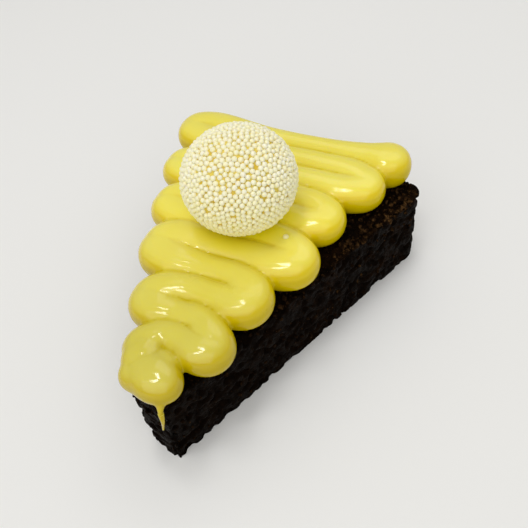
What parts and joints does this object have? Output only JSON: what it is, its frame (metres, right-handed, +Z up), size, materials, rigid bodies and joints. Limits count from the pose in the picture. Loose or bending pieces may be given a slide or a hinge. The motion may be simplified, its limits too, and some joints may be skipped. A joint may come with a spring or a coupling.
{
  "type": "slice of brownie",
  "caption": "Wedge of dark fudge brownie with one zigzag bead of yellow cream piped over it and a truffle rolled in sugar pearls set in the cream.",
  "frame": {"origin": "centre of the bounding box in plan, on the underside that the slice rests on", "axes": "+Z up out of the cream, -Y along the slice towards its blunt tip, +X towards the cut side that shows"},
  "size_m": [0.0842, 0.1049, 0.0649],
  "materials": {
    "dark_fudge": "matt, porous crumb",
    "yellow_cream": "glossy, slightly translucent",
    "sugar_pearls": "satin sugar shell"
  },
  "bodies": {
    "root": {"brownie": "dark_fudge", "cream": "yellow_cream", "truffle_ball": "sugar_pearls"}
  },
  "joints": []
}
